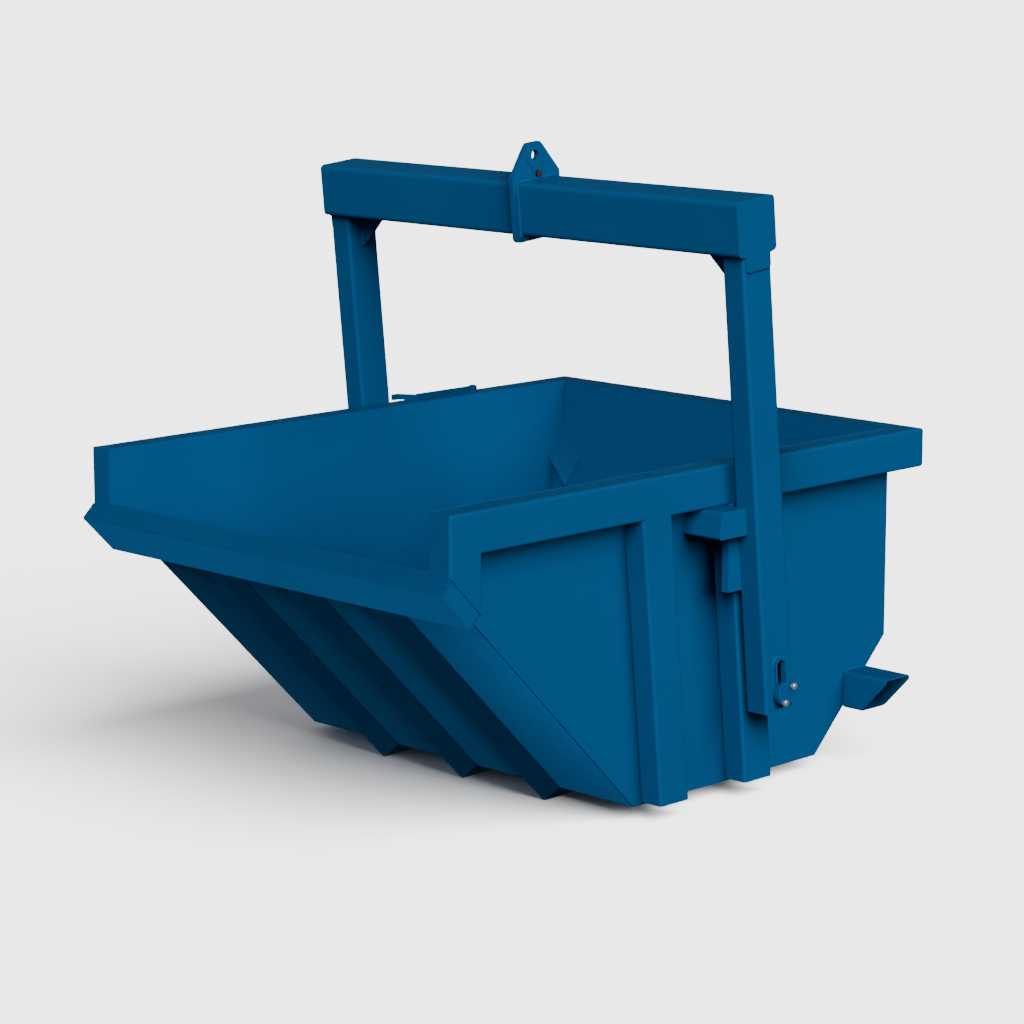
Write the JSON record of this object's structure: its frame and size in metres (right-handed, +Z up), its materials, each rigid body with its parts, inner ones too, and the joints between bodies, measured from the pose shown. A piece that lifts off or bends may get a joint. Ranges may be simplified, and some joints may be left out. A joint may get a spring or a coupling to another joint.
{
  "type": "muck tub",
  "caption": "Open welded steel tipping tub with sloped front and pouring lip, a pivoting lifting frame with crane eye, stops, rests, floor runners and a swing latch.",
  "frame": {"origin": "on the ground, in the middle of the overall length and width", "axes": "+Z up, -Y towards the pouring lip, +X to the right seen from the lip looking back; the latch is on the -X side"},
  "size_m": [1.817, 2.038, 1.8963],
  "materials": {
    "tub_paint": "satin blue paint over welded steel",
    "frame_paint": "satin blue paint over steel tube",
    "pin_paint": "satin blue paint, bare where it runs",
    "latch_paint": "satin blue paint",
    "zinc_bolts": "bright zinc plating",
    "dark_bolt": "dark oiled steel"
  },
  "bodies": {
    "tub": {"floor_plate": "tub_paint", "front_slope_plate": "tub_paint", "rear_slope_plate": "tub_paint", "rear_wall": "tub_paint", "rear_rim_rail": "tub_paint", "pouring_lip": "tub_paint", "left_runner": "tub_paint", "middle_runner": "tub_paint", "right_runner": "tub_paint", "latch_stud": "latch_paint", "left_side_wall": "tub_paint", "right_side_wall": "tub_paint", "left_rim_rail": "tub_paint", "right_rim_rail": "tub_paint", "left_front_post": "tub_paint", "right_front_post": "tub_paint", "left_lip_end_cap": "tub_paint", "right_lip_end_cap": "tub_paint", "left_front_rib": "tub_paint", "right_front_rib": "tub_paint", "left_pivot_rib": "tub_paint", "right_pivot_rib": "tub_paint", "left_pivot_boss": "tub_paint", "right_pivot_boss": "tub_paint", "left_corner_plate": "tub_paint", "right_corner_plate": "tub_paint", "left_stop_stub": "tub_paint", "right_stop_stub": "tub_paint", "left_stop_end_cap": "tub_paint", "right_stop_end_cap": "tub_paint", "left_stop_plate": "tub_paint", "right_stop_plate": "tub_paint", "left_rest_stub": "tub_paint", "right_rest_stub": "tub_paint"},
    "pivot_pins": {"left_pivot_pin": "pin_paint", "right_pivot_pin": "pin_paint", "pin_head_bolts": "zinc_bolts"},
    "lifting_frame": {"cross_beam": "frame_paint", "lifting_eye_plate": "frame_paint", "eye_rings": "frame_paint", "eye_tab": "frame_paint", "eye_tab_bolt": "dark_bolt", "left_arm": "frame_paint", "right_arm": "frame_paint", "left_arm_cap": "frame_paint", "right_arm_cap": "frame_paint", "left_slot_collar": "frame_paint", "right_slot_collar": "frame_paint", "left_beam_end_plate": "frame_paint", "right_beam_end_plate": "frame_paint", "left_knee_gusset": "frame_paint", "right_knee_gusset": "frame_paint"},
    "latch": {"latch_lever": "latch_paint"}
  },
  "joints": [
    {"name": "frame_swing", "type": "hinge", "parent": "tub", "child": "pivot_pins", "pos_m": [0, 0.24527, 0.33779], "axis": [-1, 0, 0], "range_deg": [0, 94.7]},
    {"name": "frame_drop", "type": "slide", "parent": "pivot_pins", "child": "lifting_frame", "axis": [0, -0.0971, 0.9953], "range_m": [-0.083, 0]},
    {"name": "latch_swing", "type": "hinge", "parent": "tub", "child": "latch", "pos_m": [-0.723, 0.54697, 1.02479], "axis": [0, 0, -1], "range_deg": [-20, 6]}
  ]
}
